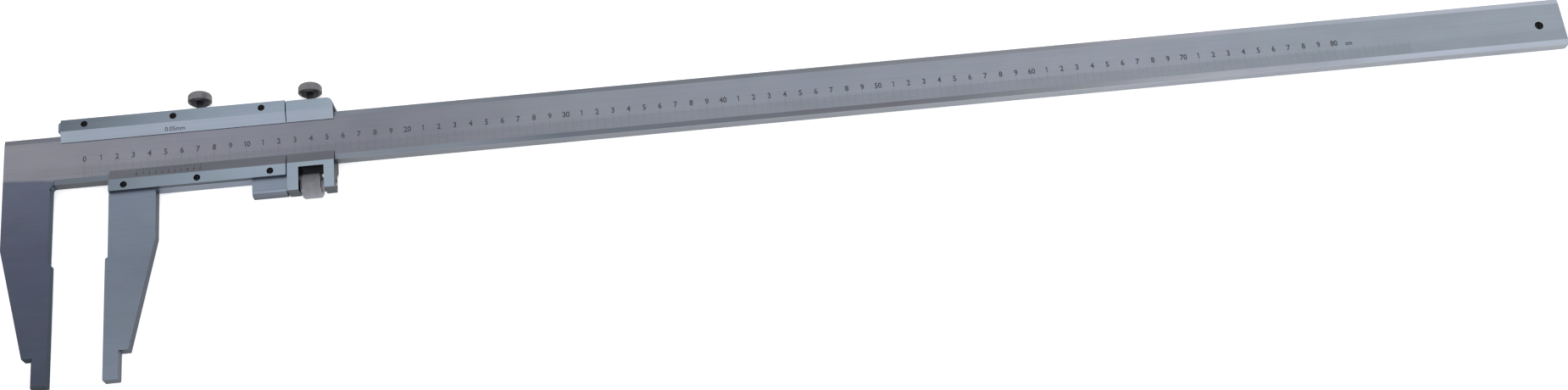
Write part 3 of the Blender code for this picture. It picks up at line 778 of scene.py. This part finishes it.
def add_bar(mesh_data, corner_of, middle, width, low, high):
    """Thin closed line of the scale, slightly sunk in the surface."""
    left, right = middle - width / 2, middle + width / 2
    outline = [(left, low), (right, low), (right, high), (left, high)]
    add_slab(mesh_data, corner_of, outline, -MARK_SINK, MARK_LIFT)


# In the units of Blender's own font
FIGURE_LINE = 0.729                 # height of a figure
FIGURE_ONE = (
    (0.14, 0.0),
    (0.26, 0.0),
    (0.26, FIGURE_LINE),
    (0.17, FIGURE_LINE),
    (0.0, 0.60),
    (0.0, 0.48),
    (0.14, 0.57),
)
FIGURE_ONE_ADVANCE = 0.36
GLYPH_HALF = 0.5                    # half the thickness of a glyph's mesh
GLYPH_WELD = 0.0005


def glyph(text, boldness):
    """Closed mesh of a piece of text, in the units of Blender's own font."""
    curve = bpy.data.curves.new("glyph", "FONT")
    curve.body = text
    curve.resolution_u = 3
    curve.extrude = GLYPH_HALF
    curve.offset = boldness
    holder = bpy.data.objects.new("glyph", curve)
    bpy.context.scene.collection.objects.link(holder)
    bpy.context.view_layer.update()
    evaluated = holder.evaluated_get(bpy.context.evaluated_depsgraph_get())
    mesh = bpy.data.meshes.new_from_object(evaluated)
    bpy.data.objects.remove(holder)
    mesh_data = bmesh.new()
    mesh_data.from_mesh(mesh)
    bpy.data.meshes.remove(mesh)
    bmesh.ops.remove_doubles(mesh_data, verts=mesh_data.verts, dist=GLYPH_WELD)
    bmesh.ops.recalc_face_normals(mesh_data, faces=mesh_data.faces)
    return mesh_data


def glyphs(text, boldness):
    """As glyph, but a leading 1 gets a flag, which the font's own 1 lacks."""
    if not text.startswith("1"):
        return glyph(text, boldness)
    mesh_data = glyph(text[1:], boldness) if len(text) > 1 else bmesh.new()
    left = min((v.co.x for v in mesh_data.verts), default=0.0)
    bmesh.ops.translate(mesh_data, verts=mesh_data.verts, vec=(FIGURE_ONE_ADVANCE - left, 0, 0))
    add_slab(mesh_data, lambda x, y, z: (x, y, z), FIGURE_ONE, -GLYPH_HALF, GLYPH_HALF)
    return mesh_data


def add_text(mesh_data, corner_of, text, centre_x, centre_y, height, squeeze, boldness):
    """Add text as a thin closed inlay, centred on a point of the surface."""
    source = glyphs(text, boldness)
    xs = [v.co.x for v in source.verts]
    middle = (min(xs) + max(xs)) / 2
    size = height / FIGURE_LINE
    placed = {}
    for v in source.verts:
        across = centre_x + (v.co.x - middle) * size * squeeze
        along = centre_y + (v.co.y - FIGURE_LINE / 2) * size
        lift = MARK_LIFT if v.co.z > 0 else -MARK_SINK
        placed[v] = mesh_data.verts.new(corner_of(across, along, lift))
    for face in source.faces:
        mesh_data.faces.new([placed[v] for v in face.verts])
    source.free()


def beam_spot(x, y, lift):
    return at(x, y, FACE_Z + lift)


def beam_scale():
    """Millimetre lines, centimetre lines and figures of the main scale."""
    lines = bmesh.new()
    fine_lines = bmesh.new()
    for step in range(SCALE_END + 1):
        kind = next(size for size in TICK_TOPS if step % size == 0)
        group = fine_lines if kind == 1 else lines
        add_bar(group, beam_spot, SCALE_ZERO + step, TICK_WIDTH, TICK_FOOT, TICK_TOPS[kind])
    new_piece("beam_scale_lines", lines, "beam", INK)
    new_piece("beam_scale_fine_lines", fine_lines, "beam", FAINT_INK)
    figures = bmesh.new()
    for centimetre in range(SCALE_FIGURES + 1):
        label = str(centimetre) if centimetre % 10 == 0 else str(centimetre % 10)
        x = SCALE_ZERO + centimetre * 10 + FIGURE_SHIFT * len(label)
        add_text(figures, beam_spot, label, x, FIGURE_Y, FIGURE_HEIGHT, *FIGURE_FORM)
    add_text(figures, beam_spot, "cm", UNIT_X, UNIT_Y, UNIT_HEIGHT, *FIGURE_FORM)
    new_piece("beam_scale_figures", figures, "beam", INK)


def low_lip_spot(x, down, lift):
    """Point on the vernier plate's bevel: down runs from 0 at the lip's edge to less towards the jaw."""
    y = LOW_LIP + down * SLOPE_RUN / SLOPE_LENGTH + lift * SLOPE_RISE / SLOPE_LENGTH
    z = LIP_Z - down * SLOPE_RISE / SLOPE_LENGTH + lift * SLOPE_RUN / SLOPE_LENGTH
    return at(x, y, z)


def top_lip_spot(x, up, lift):
    """Point on the top plate's bevel: up is the way from the lip's edge towards the crest."""
    y = TOP_LIP + up * SLOPE_RUN / SLOPE_LENGTH - lift * SLOPE_RISE / SLOPE_LENGTH
    z = LIP_Z + up * SLOPE_RISE / SLOPE_LENGTH + lift * SLOPE_RUN / SLOPE_LENGTH
    return at(x, y, z)


def vernier_scale():
    """Lines of the vernier, a figure at every other one, and the reading value on the top plate."""
    lines = bmesh.new()
    figures = bmesh.new()
    for step in range(VERNIER_STEPS + 1):
        x = VERNIER_ZERO + step * VERNIER_STEP
        numbered = step % 2 == 0
        foot = VERNIER_LONG_FOOT if numbered else VERNIER_SHORT_FOOT
        add_bar(lines, low_lip_spot, x, VERNIER_TICK_WIDTH, foot, VERNIER_TICK_TOP)
        if numbered:
            label = str(step // 2 % 10)
            down, height = VERNIER_FIGURE_DOWN, VERNIER_FIGURE_HEIGHT
            add_text(figures, low_lip_spot, label, x, down, height, *VERNIER_FIGURE_FORM)
    new_piece("vernier_lines", lines, "slider", INK)
    add_text(figures, top_lip_spot, "0.05mm", READING_X, READING_UP, READING_HEIGHT, *READING_FORM)
    new_piece("vernier_figures", figures, "slider", INK)


beam_scale()
vernier_scale()


# ---------------------------------------------------------------- stage, light and camera

FLOOR_HALF = 6.0
FLOOR_DROP = 0.2 * MM               # below the caliper, clear of its lowest faces
FLOOR_GLOW = 0.5                    # keeps its shadows pale

SURROUND_LEVEL = 1.1
SURROUND_LEAST = 0.2
FROM_THE_FRONT = -0.45
FROM_THE_RIGHT = 0.35

CAMERA_PLACE = (386.2, -514.2, 1129.9)
CAMERA_TURN = (22.045, -1.493, -6.518)
CAMERA_LENS = 44.156
CAMERA_SHIFT = (-0.0153, -0.0024)


def floor():
    """Plain pale sheet that the caliper lies on."""
    corners = [(x * FLOOR_HALF, y * FLOOR_HALF, 0) for x, y in ((-1, -1), (1, -1), (1, 1), (-1, 1))]
    mesh = bpy.data.meshes.new("floor")
    mesh.from_pydata(corners, [], [(0, 1, 2, 3)])
    ground = bpy.data.objects.new("floor", mesh)
    ground.location.z = cad_box[0].z - FLOOR_DROP
    bpy.context.scene.collection.objects.link(ground)
    paper = bpy.data.materials.new("pale_floor")
    paper.use_nodes = True
    shader = paper.node_tree.nodes["Principled BSDF"]
    input_of(shader, "Base Color", (0.92, 0.92, 0.92, 1.0))
    input_of(shader, "Roughness", 0.9)
    input_of(shader, "Specular IOR Level", 0.1)
    input_of(shader, "Emission Color", (1.0, 1.0, 1.0, 1.0))
    input_of(shader, "Emission Strength", FLOOR_GLOW)
    mesh.materials.append(paper)


def studio():
    """Even soft surround, a little brighter from the front and from the right."""
    world = bpy.data.worlds.new("studio")
    bpy.context.scene.world = world
    world.use_nodes = True
    tree = world.node_tree
    coordinates = tree.nodes.new("ShaderNodeTexCoord")
    split = tree.nodes.new("ShaderNodeSeparateXYZ")
    tree.links.new(coordinates.outputs["Generated"], split.inputs["Vector"])
    level = maths(tree, "MULTIPLY", split.outputs["Y"], FROM_THE_FRONT)
    level = maths(tree, "ADD", level, maths(tree, "MULTIPLY", split.outputs["X"], FROM_THE_RIGHT))
    level = maths(tree, "ADD", level, SURROUND_LEVEL)
    background = tree.nodes["Background"]
    tree.links.new(maths(tree, "MAXIMUM", level, SURROUND_LEAST), background.inputs["Strength"])
    input_of(background, "Color", (1.0, 1.0, 1.0, 1.0))


def camera():
    """Camera above the caliper, turned so that the beam rises to the right."""
    data = bpy.data.cameras.new("camera")
    data.lens = CAMERA_LENS
    data.sensor_width = 36.0
    data.shift_x, data.shift_y = CAMERA_SHIFT
    data.clip_end = 50.0
    made = bpy.data.objects.new("camera", data)
    made.location = ORIGIN + Vector(CAMERA_PLACE) * MM
    made.rotation_euler = Euler([math.radians(angle) for angle in CAMERA_TURN])
    bpy.context.scene.collection.objects.link(made)
    bpy.context.scene.camera = made


floor()
studio()
camera()
bpy.context.scene.view_settings.view_transform = "Standard"
